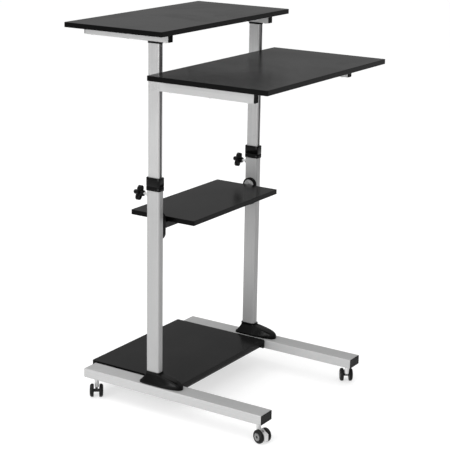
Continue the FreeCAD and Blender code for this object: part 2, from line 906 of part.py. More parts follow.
def knob(side):
    """Star knob with four rounded lobes and a hub that faces the column."""
    x = side * column_x
    front = knob_face_y + knob_hub_length
    back = front + knob_thickness
    shape = rod(knob_core_radius, (x, front, knob_height), (x, back, knob_height))
    centre_radius = knob_radius - knob_lobe_radius
    for quarter in range(4):
        turn = math.radians(90 * quarter + knob_turn)
        lobe_x = x - centre_radius * math.cos(turn)
        lobe_z = knob_height + centre_radius * math.sin(turn)
        lobe = rod(knob_lobe_radius, (lobe_x, front, lobe_z), (lobe_x, back, lobe_z))
        arm = box(0, centre_radius, front, back, -knob_lobe_radius, knob_lobe_radius)
        arm.rotate(FreeCAD.Vector(0, 0, 0), FreeCAD.Vector(0, 1, 0), 180 + math.degrees(turn))
        arm.translate(FreeCAD.Vector(x, 0, knob_height))
        shape = shape.fuse(lobe).fuse(arm)
    shape = shape.removeSplitter()
    shape = round_face_rim(shape, "Y", back, knob_edge_radius)
    shape = round_face_rim(shape, "Y", front, knob_edge_radius)
    hub = Part.makeCone(
        knob_hub_radius,
        knob_hub_radius + 2,
        knob_hub_length + 0.5,
        FreeCAD.Vector(x, knob_face_y, knob_height),
        FreeCAD.Vector(0, 1, 0),
    )
    bore = rod(stud_radius, (x, knob_face_y - 1, knob_height), (x, knob_face_y + stud_bury, knob_height))
    return shape.fuse(hub).cut(bore).removeSplitter()


def caster_places():
    """Name, stem position and trail angle of each caster."""
    return [
        ("front_left", -column_x, -caster_y, trail_angle_front_left),
        ("front_right", column_x, -caster_y, trail_angle_front_right),
        ("back_left", -column_x, caster_y, trail_angle_back_left),
        ("back_right", column_x, caster_y, trail_angle_back_right),
    ]


def placed(shape, x, y, angle):
    """Moves a caster piece, drawn trailing along +X about the origin, to its place."""
    moved = shape.copy()
    moved.rotate(FreeCAD.Vector(0, 0, 0), FreeCAD.Vector(0, 0, 1), angle)
    moved.translate(FreeCAD.Vector(x, y, 0))
    return moved


def hexagon(width, low, high):
    corner = width / math.sqrt(3)
    points = []
    for step in range(7):
        turn = math.radians(60 * step)
        points.append(FreeCAD.Vector(corner * math.cos(turn), corner * math.sin(turn), low))
    return Part.Face(Part.makePolygon(points)).extrude(FreeCAD.Vector(0, 0, high - low))


def caster_stems():
    stems = []
    for _, x, y, angle in caster_places():
        pin = rod(stem_radius, (0, 0, stem_bottom), (0, 0, leg_bottom + leg_wall + stem_tail))
        nut = hexagon(stem_nut_width, leg_bottom - stem_nut_height, leg_bottom)
        stems.append(placed(pin.fuse(nut).removeSplitter(), x, y, angle))
    return group(stems)


def fork_arm(half):
    """Flat arm that joins the neck to the saddle on top of the axle barrel."""
    outline = [
        (-3, wheel_radius + 6),
        (-3, wheel_radius + 22),
        (8, wheel_radius + 20),
        (caster_trail + fork_saddle_reach, wheel_radius + axle_barrel_radius),
        (caster_trail, wheel_radius),
        (caster_trail - axle_barrel_radius - 1, wheel_radius),
        (3, wheel_radius + 6),
        (-3, wheel_radius + 6),
    ]
    points = [FreeCAD.Vector(across, -half, up) for across, up in outline]
    return Part.Face(Part.makePolygon(points)).extrude(FreeCAD.Vector(0, 2 * half, 0))


def caster_fork(braked):
    """Neck round the stem with an arm and saddle that carry the axle between the two wheels."""
    half = fork_arm_width / 2
    shape = Part.makeCone(
        neck_bottom_radius, neck_top_radius, neck_top - neck_bottom, FreeCAD.Vector(0, 0, neck_bottom)
    )
    shape = shape.fuse(fork_arm(half))
    if braked:
        start = (pedal_pivot_reach, -pedal_half_width, pedal_pivot_height)
        end = (pedal_pivot_reach, pedal_half_width, pedal_pivot_height)
        shape = shape.fuse(rod(pedal_pin_radius, start, end))
    bore = rod(stem_radius + running_gap, (0, 0, stem_bottom - sliding_gap), (0, 0, neck_top + 1))
    seat = rod(
        axle_barrel_radius, (caster_trail, -half - 1, wheel_radius), (caster_trail, half + 1, wheel_radius)
    )
    return shape.cut(bore).cut(seat).removeSplitter()


def caster_axle():
    """Axle with a head at each end and a barrel between the two wheels."""
    half = wheel_inner_gap / 2 + wheel_width - hub_recess_depth + sliding_gap
    shape = rod(axle_radius, (caster_trail, -half, wheel_radius), (caster_trail, half, wheel_radius))
    for side in (-1, 1):
        head_end = side * (half + axle_head_thickness)
        start = (caster_trail, side * half, wheel_radius)
        head = rod(axle_head_radius, start, (caster_trail, head_end, wheel_radius))
        shape = shape.fuse(head)
    barrel_half = wheel_inner_gap / 2 - sliding_gap
    near = (caster_trail, -barrel_half, wheel_radius)
    barrel = rod(axle_barrel_radius, near, (caster_trail, barrel_half, wheel_radius))
    return shape.fuse(barrel).removeSplitter()


def caster_wheel(side):
    """One of the two thin wheels of a caster, on the given side of its fork."""
    near = side * wheel_inner_gap / 2
    far = side * (wheel_inner_gap / 2 + wheel_width)
    shape = rod(wheel_radius, (caster_trail, near, wheel_radius), (caster_trail, far, wheel_radius))
    shape = round_face_rim(shape, "Y", near, wheel_inner_edge_radius)
    shape = round_face_rim(shape, "Y", far, wheel_outer_edge_radius)
    recess = rod(
        hub_recess_radius,
        (caster_trail, far - side * hub_recess_depth, wheel_radius),
        (caster_trail, far + side, wheel_radius),
    )
    bore = rod(
        axle_radius + running_gap,
        (caster_trail, near - side, wheel_radius),
        (caster_trail, far + side, wheel_radius),
    )
    return shape.cut(recess).cut(bore)


def brake_pedal():
    """Pedal with two lugs that straddle the fork arm, a blade and a pad turned down at its tip."""
    lug_inside = fork_arm_width / 2 + pedal_lug_gap
    half_thick = pedal_thickness / 2
    blade = box(
        pedal_bridge_start, pedal_length, -pedal_half_width, pedal_half_width, -half_thick, half_thick
    )
    for side in (-1, 1):
        near = side * lug_inside
        far = side * pedal_half_width
        lug = box(0, pedal_bridge_start + 1, near, far, -half_thick, half_thick)
        blade = blade.fuse(lug).fuse(rod(pedal_barrel_radius, (0, near, 0), (0, far, 0)))
    blade.rotate(FreeCAD.Vector(0, 0, 0), FreeCAD.Vector(0, 1, 0), pedal_slope)
    tip_x = pedal_length * math.cos(math.radians(pedal_slope))
    tip_z = -pedal_length * math.sin(math.radians(pedal_slope))
    pad = box(
        tip_x - pedal_pad_thickness, tip_x, -pedal_half_width, pedal_half_width, tip_z - pedal_pad_height, tip_z
    )
    pad = round_edges(pad, "x", 1.5)
    shape = blade.fuse(pad)
    reach = pedal_half_width + 1
    shape = shape.cut(rod(pedal_pin_radius + running_gap, (0, -reach, 0), (0, reach, 0)))
    shape.translate(FreeCAD.Vector(pedal_pivot_reach, 0, pedal_pivot_height))
    return shape.removeSplitter()


def save_casters():
    for name, x, y, angle in caster_places():
        braked = name.startswith("front")
        save(name + "_caster_fork", placed(caster_fork(braked), x, y, angle))
        save(name + "_caster_axle", placed(caster_axle(), x, y, angle))
        save(name + "_wheel_a", placed(caster_wheel(-1), x, y, angle))
        save(name + "_wheel_b", placed(caster_wheel(1), x, y, angle))
        if braked:
            save(name + "_brake_pedal", placed(brake_pedal(), x, y, angle))


def save_pairs():
    makers = {
        "leg": leg,
        "lower_column": lower_column,
        "collar": collar,
        "foot_shroud": shroud,
        "upper_column": upper_column,
        "top_arm": top_arm,
        "tray_arm": tray_arm,
        "knob": knob,
        "knob_stud": knob_stud,
    }
    for label, side in sides.items():
        for name, maker in makers.items():
            save(label + "_" + name, maker(side))


def save_singles():
    save("leg_end_caps", leg_end_caps())
    save("column_anchor_bolts", column_anchor_bolts())
    save("column_top_spacers", column_top_spacers())
    save("top_arm_caps", top_arm_caps())
    save("top_arm_bolts", top_arm_bolts())
    save("tray_arm_caps", tray_arm_caps())
    save("tray_slide_keys", tray_slide_keys())
    save("tray_key_bolts", tray_key_bolts())
    save("top_shelf", top_shelf())
    save("top_shelf_screws", top_shelf_screws())
    save("front_tray", front_tray())
    save("tray_screws", tray_screws())
    save("middle_shelf", middle_shelf())
    save("middle_shelf_beam", middle_shelf_beam())
    save("shelf_bracket_covers", bracket_covers())
    save("shelf_bracket_plates", bracket_plates())
    save("bottom_shelf", bottom_shelf())
    save("front_cross_beam", cross_beam(front_beam_y))
    save("rear_cross_beam", cross_beam(rear_beam_y))
    save("shelf_screws", shelf_screws())
    save("frame_bolts", frame_bolts())
    save("knob_bushes", knob_bushes())
    save("caster_stems", caster_stems())


save_pairs()
save_singles()
save_casters()
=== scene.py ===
import json
import math
import bpy
import numpy as np
from mathutils import Matrix, Vector


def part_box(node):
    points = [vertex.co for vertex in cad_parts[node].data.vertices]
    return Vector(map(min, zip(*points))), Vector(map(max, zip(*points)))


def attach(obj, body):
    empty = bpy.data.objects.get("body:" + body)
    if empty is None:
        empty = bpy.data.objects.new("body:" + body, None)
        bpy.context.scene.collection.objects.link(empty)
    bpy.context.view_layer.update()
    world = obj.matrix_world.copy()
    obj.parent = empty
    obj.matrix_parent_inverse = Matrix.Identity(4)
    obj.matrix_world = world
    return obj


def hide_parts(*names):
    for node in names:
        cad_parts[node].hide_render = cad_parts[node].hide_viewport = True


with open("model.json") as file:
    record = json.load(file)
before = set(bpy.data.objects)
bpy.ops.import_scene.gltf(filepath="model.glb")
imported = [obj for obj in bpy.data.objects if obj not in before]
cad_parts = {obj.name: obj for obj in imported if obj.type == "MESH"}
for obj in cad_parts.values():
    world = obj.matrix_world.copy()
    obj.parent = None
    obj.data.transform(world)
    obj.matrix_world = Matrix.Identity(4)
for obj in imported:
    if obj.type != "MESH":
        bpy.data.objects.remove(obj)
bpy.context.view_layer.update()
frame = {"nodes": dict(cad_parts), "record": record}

print("stage: frame loaded,", len(frame["nodes"]), "nodes")

sides = ("left", "right")
casters = ("front_left", "front_right", "back_left", "back_right")
plainWhite = (1.0, 1.0, 1.0, 1.0)


def grey(level):
    return (level, level, level)


def findJoint(name):
    return next(j for j in frame["record"]["behaviour"]["joints"] if j["name"] == name)


def surfacePiece(name, grid, shut="ends"):
    # grid is (rings, around, 3); each ring is joined to the next by quads that wrap round it.
    # shut "ends" closes both ends with a fan to the ring's middle, shut "loop" joins last to first
    rings, around = grid.shape[:2]
    points = grid.reshape(-1, 3)
    ring = np.arange(rings if shut == "loop" else rings - 1)[:, None]
    step = np.arange(around)[None, :]
    after = (step + 1) % around
    above = (ring + 1) % rings
    corners = [ring * around + step, ring * around + after,
               above * around + after, above * around + step]
    quads = np.stack(corners, axis=-1).reshape(-1, 4)
    fans = np.empty((0, 3), int)
    if shut == "ends":
        middles = np.stack([grid[0].mean(axis=0), grid[-1].mean(axis=0)])
        first = len(points)
        points = np.concatenate([points, middles])
        low = np.stack([step[0], np.full(around, first), after[0]], axis=-1)
        top = (rings - 1) * around
        high = np.stack([top + step[0], top + after[0], np.full(around, first + 1)], axis=-1)
        fans = np.concatenate([low, high])
    triangles = np.concatenate([quads[:, [0, 1, 2]], quads[:, [0, 2, 3]], fans])
    a, b, c = (points[triangles[:, k]] for k in range(3))
    volume = np.einsum("ij,ij->i", a, np.cross(b, c)).sum()  # only its sign counts
    if volume < 0:  # inside out, so every face is turned round
        quads = quads[:, ::-1]
        fans = fans[:, ::-1]
    mesh = bpy.data.meshes.new(name)
    mesh.from_pydata(points.tolist(), [], quads.tolist() + fans.tolist())
    mesh.polygons.foreach_set("use_smooth", np.ones(len(mesh.polygons), bool))
    mesh.update()
    piece = bpy.data.objects.new(name, mesh)
    bpy.context.scene.collection.objects.link(piece)
    return piece


def acrossAndUp(axis):
    # a level axis made one long, and two directions at right angles to it: level and upright
    axis = np.array(axis, float) / np.linalg.norm(axis)
    across = np.cross(axis, [0.0, 0.0, 1.0])
    across /= np.linalg.norm(across)
    return axis, across, np.cross(across, axis)


def turned(profile, centre, axis, around):
    # each (along, radius) pair of the profile becomes a ring round the axis: its points are
    # centre + along * axis + radius * (cos(turn) * across + sin(turn) * up)
    axis, across, up = acrossAndUp(axis)
    turn = np.linspace(0, 2 * np.pi, around, endpoint=False)
    circle = np.cos(turn)[:, None] * across + np.sin(turn)[:, None] * up
    profile = np.asarray(profile, float)
    along, radius = profile[:, 0, None, None], profile[:, 1, None, None]
    return np.array(centre) + along * axis + radius * circle


def quarterRound(along, radius, reachAlong, reachRadius, start, end, steps):
    # ellipse quarter in a profile, its angles in degrees: along + reachAlong * cos(turn)
    # and radius + reachRadius * sin(turn)
    turn = np.radians(np.linspace(start, end, steps))
    pair = [along + reachAlong * np.cos(turn), radius + reachRadius * np.sin(turn)]
    return np.stack(pair, axis=1)


def tagPiece(piece, body, slotName, look, *nodes):
    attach(piece, body)
    if nodes:
        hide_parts(*nodes)
    dress(piece, look)


def newGroup(name, inputs, outputs):
    tree = bpy.data.node_groups.new(name, "ShaderNodeTree")
    for label, kind, value in inputs:
        socket = tree.interface.new_socket(label, in_out="INPUT", socket_type=kind)
        socket.default_value = value
    for label, kind in outputs:
        tree.interface.new_socket(label, in_out="OUTPUT", socket_type=kind)
    return tree, tree.nodes.new("NodeGroupInput"), tree.nodes.new("NodeGroupOutput")


def addNode(tree, kind, settings=None, values=None, links=None):
    node = tree.nodes.new(kind)
    for key, value in (settings or {}).items():
        setattr(node, key, value)
    for key, value in (values or {}).items():
        node.inputs[key].default_value = value
    for key, source in (links or {}).items():
        tree.links.new(source, node.inputs[key])
    return node


def maths(tree, operation, first, second=None, clamp=False):
    node = addNode(tree, "ShaderNodeMath", {"operation": operation, "use_clamp": clamp})
    for index, value in enumerate((first, second)):
        if value is None:
            continue
        if isinstance(value, (int, float)):
            node.inputs[index].default_value = value
        else:
            tree.links.new(value, node.inputs[index])
    return node.outputs[0]


def spread(tree, value, zeroAt, oneAt):
    # 0 at one value and 1 at the other, smooth between them and held beyond
    node = addNode(tree, "ShaderNodeMapRange", {"interpolation_type": "SMOOTHSTEP"},
                   {"From Min": zeroAt, "From Max": oneAt}, {"Value": value})
    return node.outputs["Result"]


def makeGrainGroup():
    # two sizes of noise blended by the broad one's share: fine pebbling and broad mottling
    tree, inside, outside = newGroup(
        "fineGrain",
        [("Vector", "NodeSocketVector", (0, 0, 0)), ("Fine Scale", "NodeSocketFloat", 900.0),
         ("Broad Scale", "NodeSocketFloat", 14.0), ("Broad Share", "NodeSocketFloat", 0.4)],
        [("Value", "NodeSocketFloat"), ("Height", "NodeSocketFloat")],
    )
    place = inside.outputs["Vector"]
    fine = addNode(tree, "ShaderNodeTexNoise", values={"Detail": 3.0, "Roughness": 0.6},
                   links={"Vector": place, "Scale": inside.outputs["Fine Scale"]})
    broad = addNode(tree, "ShaderNodeTexNoise", values={"Detail": 2.0, "Roughness": 0.5},
                    links={"Vector": place, "Scale": inside.outputs["Broad Scale"]})
    mixed = blendValues(tree, inside.outputs["Broad Share"],
                        fine.outputs["Fac"], broad.outputs["Fac"])
    tree.links.new(mixed, outside.inputs["Value"])
    tree.links.new(fine.outputs["Fac"], outside.inputs["Height"])
    return tree


def makeDrawnGroup():
    # noise stretched along one axis: the faint lines that drawing or extruding leaves
    tree, inside, outside = newGroup(
        "drawnLines",
        [("Vector", "NodeSocketVector", (0, 0, 0)),
         ("Stretch", "NodeSocketVector", (600, 600, 6))],
        [("Value", "NodeSocketFloat")],
    )
    scaled = addNode(tree, "ShaderNodeVectorMath", {"operation": "MULTIPLY"},
                     links={0: inside.outputs["Vector"], 1: inside.outputs["Stretch"]})
    lines = addNode(tree, "ShaderNodeTexNoise",
                    values={"Scale": 1.0, "Detail": 4.0, "Roughness": 0.65},
                    links={"Vector": scaled.outputs[0]})
    tree.links.new(lines.outputs["Fac"], outside.inputs["Value"])
    return tree


def makeWearGroup():
    # how far the rounded normal leaves the flat one, broken up by noise: wear along edges
    tree, inside, outside = newGroup(
        "edgeWear",
        [("Vector", "NodeSocketVector", (0, 0, 0)), ("Amount", "NodeSocketFloat", 0.5)],
        [("Mask", "NodeSocketFloat")],
    )
    rounded = addNode(tree, "ShaderNodeBevel", {"samples": 6}, {"Radius": 0.0012})
    flat = addNode(tree, "ShaderNodeNewGeometry")
    dot = addNode(tree, "ShaderNodeVectorMath", {"operation": "DOT_PRODUCT"},
                  links={0: rounded.outputs["Normal"], 1: flat.outputs["Normal"]})
    edge = spread(tree, dot.outputs["Value"], zeroAt=0.995, oneAt=0.86)
    noise = addNode(tree, "ShaderNodeTexNoise",
                    values={"Scale": 70.0, "Detail": 5.0, "Roughness": 0.7},
                    links={"Vector": inside.outputs["Vector"]})
    broken = spread(tree, noise.outputs["Fac"], zeroAt=0.35, oneAt=0.62)
    worn = maths(tree, "MULTIPLY", edge, broken)
    worn = maths(tree, "MULTIPLY", worn, inside.outputs["Amount"], clamp=True)
    tree.links.new(worn, outside.inputs["Mask"])
    return tree


def makeDustGroup():
    # faces that look up, times soft patches: a light film of dust
    tree, inside, outside = newGroup(
        "settledDust",
        [("Vector", "NodeSocketVector", (0, 0, 0)), ("Amount", "NodeSocketFloat", 0.3),
         ("Patch Scale", "NodeSocketFloat", 9.0)],
        [("Mask", "NodeSocketFloat")],
    )
    facing = addNode(tree, "ShaderNodeNewGeometry")
    split = addNode(tree, "ShaderNodeSeparateXYZ", links={0: facing.outputs["Normal"]})
    upward = spread(tree, split.outputs["Z"], zeroAt=0.3, oneAt=0.95)
    patch = addNode(tree, "ShaderNodeTexNoise", values={"Detail": 6.0, "Roughness": 0.62},
                    links={"Vector": inside.outputs["Vector"],
                           "Scale": inside.outputs["Patch Scale"]})
    soft = spread(tree, patch.outputs["Fac"], zeroAt=0.38, oneAt=0.72)
    film = maths(tree, "MULTIPLY", upward, soft)
    film = maths(tree, "MULTIPLY", film, inside.outputs["Amount"], clamp=True)
    tree.links.new(film, outside.inputs["Mask"])
    return tree


def makeSmudgeGroup():
    # warped noise, smoothly cut off at both ends: hand marks that change the shine
    tree, inside, outside = newGroup(
        "handSmudges",
        [("Vector", "NodeSocketVector", (0, 0, 0)), ("Scale", "NodeSocketFloat", 7.0)],
        [("Mask", "NodeSocketFloat")],
    )
    marks = addNode(tree, "ShaderNodeTexNoise",
                    values={"Detail": 7.0, "Roughness": 0.55, "Distortion": 1.4},
                    links={"Vector": inside.outputs["Vector"], "Scale": inside.outputs["Scale"]})
    mask = spread(tree, marks.outputs["Fac"], zeroAt=0.42, oneAt=0.66)
    tree.links.new(mask, outside.inputs["Mask"])
    return tree


def placeGroup(tree, key, coords, values):
    node = tree.nodes.new("ShaderNodeGroup")
    node.node_tree = groups[key]
    for label, value in values.items():
        node.inputs[label].default_value = value
    tree.links.new(coords, node.inputs["Vector"])
    return node


def blendColours(tree, factor, first, second):
    node = addNode(tree, "ShaderNodeMix", {"data_type": "RGBA"}, links={0: factor})
    for index, colour in ((6, first), (7, second)):
        if isinstance(colour, tuple):
            node.inputs[index].default_value = (*colour, 1.0)
        else:
            tree.links.new(colour, node.inputs[index])
    return node.outputs[2]


def blendValues(tree, factor, first, second):
    node = addNode(tree, "ShaderNodeMix", {"data_type": "FLOAT"}, links={0: factor})
    for index, value in ((2, first), (3, second)):
        if isinstance(value, (int, float)):
            node.inputs[index].default_value = value
        else:
            tree.links.new(value, node.inputs[index])
    return node.outputs[0]


groups = {
    "grain": makeGrainGroup(),
    "drawn": makeDrawnGroup(),
    "wear": makeWearGroup(),
    "dust": makeDustGroup(),
    "smudge": makeSmudgeGroup(),
}
print("stage: shader groups made")

dustFilm = dict(
    colour=(0.32, 0.31, 0.3),
    patchScale=9.0,
    dulling=0.25,  # how much a full film adds to the roughness
)


def makeSurface(name, look):
    # base colour mottled by grain, then blended to the worn colour along edges and to dust on
    # faces that look up; shine broken by smudges, grain and dust
    material = bpy.data.materials.new(name)
    material.use_nodes = True
    tree = material.node_tree
    shader = tree.nodes["Principled BSDF"]
    coords = addNode(tree, "ShaderNodeTexCoord").outputs["Object"]
    grain = placeGroup(tree, "grain", coords,
                       {"Fine Scale": look["grainScale"], "Broad Scale": look["mottleScale"],
                        "Broad Share": look["mottleShare"]})
    mottle = spread(tree, grain.outputs["Value"], zeroAt=0.3, oneAt=0.7)
    colour = blendColours(tree, mottle, look["dark"], look["light"])
    height = grain.outputs["Height"]
    if "stretch" in look:
        lines = placeGroup(tree, "drawn", coords, {"Stretch": look["stretch"]})
        lineMask = spread(tree, lines.outputs["Value"], zeroAt=0.3, oneAt=0.7)
        lineShare = maths(tree, "MULTIPLY", lineMask, look["lineShare"])
        colour = blendColours(tree, lineShare, colour, look["light"])
        height = blendValues(tree, lineMask, height, lines.outputs["Value"])
    if "lowColour" in look:
        # the low colour below one height over the floor, gone above another: painted shade on the
        # frame's low bolts, a darker band low on the caster forks
        level = addNode(tree, "ShaderNodeSeparateXYZ", links={0: coords}).outputs["Z"]
        start, end = look["lowRise"]
        lowMask = spread(tree, level, zeroAt=end, oneAt=start)
        colour = blendColours(tree, lowMask, colour, look["lowColour"])
    wear = placeGroup(tree, "wear", coords, {"Amount": look["wear"]})
    colour = blendColours(tree, wear.outputs["Mask"], colour, look["worn"])
    if "paintedEdgeShade" in look:
        # painted shade: faces that stand upright, which on a board is the band round its edge, are
        # darkened
        facing = addNode(tree, "ShaderNodeNewGeometry").outputs["Normal"]
        rise = addNode(tree, "ShaderNodeSeparateXYZ", links={0: facing}).outputs["Z"]
        upright = spread(tree, maths(tree, "ABSOLUTE", rise), zeroAt=0.75, oneAt=0.35)
        colour = blendColours(tree, upright, colour, look["paintedEdgeShade"])
    dust = placeGroup(tree, "dust", coords,
                      {"Amount": look["dust"], "Patch Scale": dustFilm["patchScale"]})
    film = dust.outputs["Mask"]
    colour = blendColours(tree, film, colour, dustFilm["colour"])
    smudge = placeGroup(tree, "smudge", coords, {"Scale": look["smudgeScale"]})
    shine = blendValues(tree, smudge.outputs["Mask"], look["roughLow"], look["roughHigh"])
    offMiddle = maths(tree, "SUBTRACT", mottle, 0.5)
    shine = maths(tree, "ADD", shine, maths(tree, "MULTIPLY", offMiddle, look["roughGrain"]))
    dulled = maths(tree, "MULTIPLY", film, dustFilm["dulling"])
    shine = maths(tree, "ADD", shine, dulled, clamp=True)
    bump = addNode(tree, "ShaderNodeBump", links={"Height": height},
                   values={"Strength": look["bump"], "Distance": look["bumpDepth"]})
    tree.links.new(colour, shader.inputs["Base Color"])
    tree.links.new(shine, shader.inputs["Roughness"])
    tree.links.new(bump.outputs["Normal"], shader.inputs["Normal"])
    shader.inputs["Metallic"].default_value = look["metallic"]
    shader.inputs["Specular IOR Level"].default_value = look.get("specular", 0.5)
    return material


looks = {
    # silver-grey coat on the legs and arms, drawn lines along their length
    "legSilver": dict(
        dark=grey(0.33), light=grey(0.42), worn=grey(0.62), grainScale=1100.0, mottleScale=5.0,
        mottleShare=0.25, stretch=(500.0, 4.0, 500.0), lineShare=0.55, wear=0.30, dust=0.06,
        smudgeScale=6.0, roughLow=0.42, roughHigh=0.52, roughGrain=0.10, bump=0.10,
        bumpDepth=0.0003, metallic=0.25, specular=0.4,
    ),
    # the same coat on the lower columns, painted a little darker as painted shade, drawn lines
    # along their height
    "shadedColumnSilver": dict(
        dark=grey(0.27), light=grey(0.335), worn=grey(0.56), grainScale=1100.0, mottleScale=5.0,
        mottleShare=0.25, stretch=(500.0, 500.0, 4.0), lineShare=0.5, wear=0.25, dust=0.04,
        smudgeScale=5.0, roughLow=0.40, roughHigh=0.50, roughGrain=0.10, bump=0.10,
        bumpDepth=0.0003, metallic=0.3, specular=0.4,
    ),
    # bare anodised upper columns that slide inside the lower ones, with plain drawn lines
    "columnBright": dict(
        dark=grey(0.27), light=grey(0.39), worn=grey(0.66), grainScale=1100.0, mottleScale=5.0,
        mottleShare=0.2, stretch=(420.0, 420.0, 3.0), lineShare=0.8, wear=0.35, dust=0.03,
        smudgeScale=5.0, roughLow=0.30, roughHigh=0.40, roughGrain=0.10, bump=0.12,
        bumpDepth=0.0003, metallic=0.35, specular=0.5,
    ),
    # satin black laminate on the boards, with painted shade making the upright band round the edge
    # blacker
    "laminate": dict(
        dark=grey(0.005), light=grey(0.010), worn=grey(0.020), grainScale=1700.0,
        mottleScale=3.0, mottleShare=0.3, wear=0.2, dust=0.008, smudgeScale=3.5, roughLow=0.21,
        roughHigh=0.25, roughGrain=0.03, bump=0.03, bumpDepth=0.0003, metallic=0.0,
        specular=0.06, paintedEdgeShade=grey(0.001),
    ),
    # fine-textured moulded plastic of the arm caps, spacers and bracket covers
    "mouldedBlack": dict(
        dark=grey(0.002), light=grey(0.006), worn=grey(0.03), grainScale=2000.0,
        mottleScale=20.0, mottleShare=0.3, wear=0.25, dust=0.02, smudgeScale=14.0, roughLow=0.42,
        roughHigh=0.55, roughGrain=0.12, bump=0.25, bumpDepth=0.0002, metallic=0.0,
        specular=0.05,
    ),
    # smoother, glossier plastic of the foot boots, collars and knobs
    "bootPlastic": dict(
        dark=grey(0.001), light=grey(0.003), worn=grey(0.02), grainScale=1600.0,
        mottleScale=18.0, mottleShare=0.3, wear=0.2, dust=0.02, smudgeScale=16.0, roughLow=0.18,
        roughHigh=0.28, roughGrain=0.06, bump=0.08, bumpDepth=0.0001, metallic=0.0,
        specular=0.10,
    ),
    # black powder coat on the beams
    "blackCoat": dict(
        dark=grey(0.004), light=grey(0.009), worn=grey(0.12), grainScale=1200.0, mottleScale=9.0,
        mottleShare=0.3, wear=0.25, dust=0.04, smudgeScale=8.0, roughLow=0.40, roughHigh=0.54,
        roughGrain=0.12, bump=0.2, bumpDepth=0.0004, metallic=0.1, specular=0.15,
    ),
    # bright zinc on fasteners, plates, bushes, keys and studs
    "zinc": dict(
        dark=grey(0.45), light=grey(0.62), worn=grey(0.8), grainScale=600.0, mottleScale=60.0,
        mottleShare=0.5, wear=0.3, dust=0.05, smudgeScale=30.0, roughLow=0.24, roughHigh=0.38,
        roughGrain=0.15, bump=0.08, bumpDepth=0.0002, metallic=0.85,
    ),
    # duller zinc on the frame's bolts, with painted shade turning the low ones under the bottom
    # board black
    "boltZinc": dict(
        dark=grey(0.45), light=grey(0.62), worn=grey(0.8), grainScale=600.0, mottleScale=60.0,
        mottleShare=0.5, wear=0.3, dust=0.05, smudgeScale=30.0, roughLow=0.28, roughHigh=0.42,
        roughGrain=0.15, bump=0.08, bumpDepth=0.0002, metallic=0.8, lowColour=grey(0.012),
        lowRise=(0.25, 0.30),
    ),
    # pressed hub discs
    "hubSilver": dict(
        dark=grey(0.16), light=grey(0.26), worn=grey(0.42), grainScale=900.0, mottleScale=80.0,
        mottleShare=0.5, wear=0.4, dust=0.06, smudgeScale=60.0, roughLow=0.26, roughHigh=0.40,
        roughGrain=0.12, bump=0.10, bumpDepth=0.0001, metallic=0.7,
    ),
    # blackened axles
    "axleBlack": dict(
        dark=grey(0.006), light=grey(0.016), worn=grey(0.25), grainScale=900.0, mottleScale=60.0,
        mottleShare=0.4, wear=0.4, dust=0.06, smudgeScale=40.0, roughLow=0.34, roughHigh=0.48,
        roughGrain=0.1, bump=0.1, bumpDepth=0.0002, metallic=0.3, specular=0.3,
    ),
    # wheel treads, scuffed by the floor
    "treadBlack": dict(
        dark=grey(0.002), light=grey(0.006), worn=grey(0.03), grainScale=1400.0,
        mottleScale=70.0, mottleShare=0.5, wear=0.4, dust=0.05, smudgeScale=40.0, roughLow=0.34,
        roughHigh=0.55, roughGrain=0.12, bump=0.3, bumpDepth=0.0003, metallic=0.0, specular=0.15,
    ),
    # light grey nylon of the brake pedals
    "forkGrey": dict(
        dark=grey(0.50), light=grey(0.62), worn=grey(0.35), grainScale=1300.0, mottleScale=50.0,
        mottleShare=0.4, wear=0.3, dust=0.05, smudgeScale=30.0, roughLow=0.32, roughHigh=0.45,
        roughGrain=0.1, bump=0.12, bumpDepth=0.0002, metallic=0.0, specular=0.45,
    ),
    # the same nylon on the caster forks, black low down round the axle
    "forkTwoTone": dict(
        dark=grey(0.50), light=grey(0.62), worn=grey(0.35), grainScale=1300.0, mottleScale=50.0,
        mottleShare=0.4, wear=0.3, dust=0.04, smudgeScale=30.0, roughLow=0.30, roughHigh=0.42,
        roughGrain=0.1, bump=0.12, bumpDepth=0.0002, metallic=0.0, specular=0.35,
        lowColour=grey(0.012), lowRise=(0.029, 0.033),
    ),
    # leg end caps, a little shinier than the other mouldings
    "capPlastic": dict(
        dark=grey(0.002), light=grey(0.006), worn=grey(0.05), grainScale=1800.0,
        mottleScale=30.0, mottleShare=0.3, wear=0.3, dust=0.03, smudgeScale=20.0, roughLow=0.28,
        roughHigh=0.42, roughGrain=0.1, bump=0.2, bumpDepth=0.0002, metallic=0.0, specular=0.06,
    ),
}
materials = {name: makeSurface(name, look) for name, look in looks.items()}
print("stage: materials made,", len(materials))

slotLook = {
    "silver_paint": "shadedColumnSilver",
    "anodised_aluminium": "columnBright",
    "black_laminate": "laminate",
    "black_plastic": "mouldedBlack",
    "black_steel": "blackCoat",
    "zinc_steel": "zinc",
    "caster_plastic": "axleBlack",
    "wheel_black": "treadBlack",
    "grey_plastic": "forkGrey",
}
nodeLook = {"leg_end_caps": "capPlastic", "frame_bolts": "boltZinc"}
for side in sides:  # drawn lines run from front to back on the legs and arms
    for tube in ("leg", "top_arm", "tray_arm"):
        nodeLook[f"{side}_{tube}"] = "legSilver"
for caster in casters:
    nodeLook[caster + "_caster_fork"] = "forkTwoTone"


def dress(piece, look):
    piece.data.materials.clear()
    piece.data.materials.append(materials[look])


for part in frame["record"]["subparts"]:
    node = part["node"]
    dress(frame["nodes"][node], nodeLook.get(node, slotLook[part["material_slot"]]))
print("stage: frame nodes dressed")

